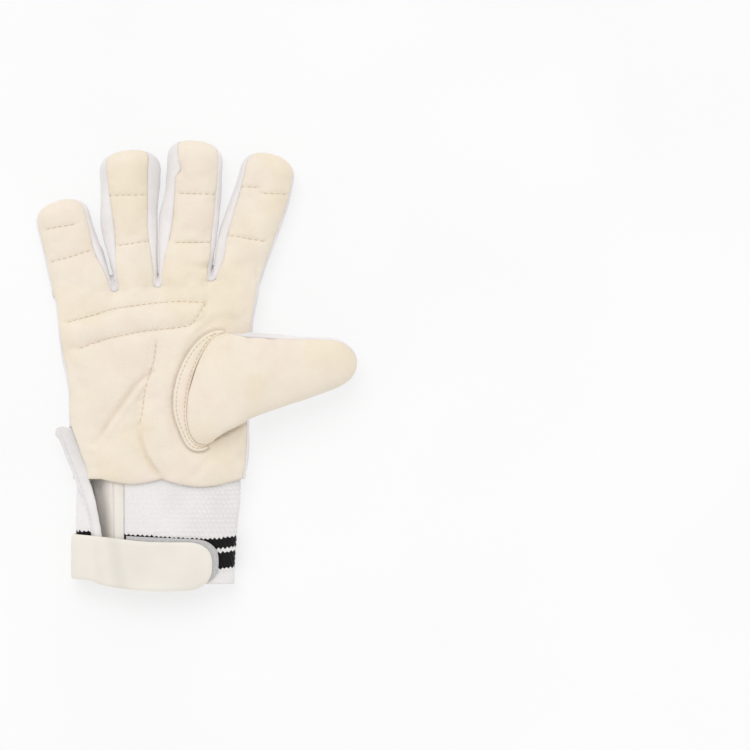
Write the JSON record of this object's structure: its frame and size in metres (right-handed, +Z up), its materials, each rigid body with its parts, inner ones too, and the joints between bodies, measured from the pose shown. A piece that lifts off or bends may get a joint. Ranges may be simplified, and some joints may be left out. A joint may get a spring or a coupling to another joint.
{
  "type": "wicketkeeping inner glove",
  "caption": "Right-hand padded inner glove: leather palm and thumb, white cloth back and finger sides, knit wrist with black stripes, side vent and closing strap.",
  "frame": {"origin": "middle of the bounding box's bottom face, on the surface the glove lies on", "axes": "+X towards the thumb, +Y from the wrist towards the fingertips, +Z up out of the palm, which faces up"},
  "size_m": [0.1704, 0.2392, 0.0326],
  "materials": {
    "leather": "matte napped chamois, cream",
    "cotton": "matte white cotton",
    "knit": "matte white rib knit with two black stripes",
    "strap": "smooth off-white, satin",
    "fastener": "matte looped pile, pale grey"
  },
  "bodies": {
    "root": {"palm_leather": "leather", "back_fabric": "cotton", "fourchette_little_ring": "cotton", "fourchette_ring_middle": "cotton", "fourchette_middle_index": "cotton", "thumb_leather": "leather", "thumb_back": "cotton", "thumb_welt": "leather", "knit_cuff": "knit", "vent_binding": "cotton", "placket_binding": "cotton", "wrist_strap": "strap", "fastener_patch": "fastener"}
  },
  "joints": []
}
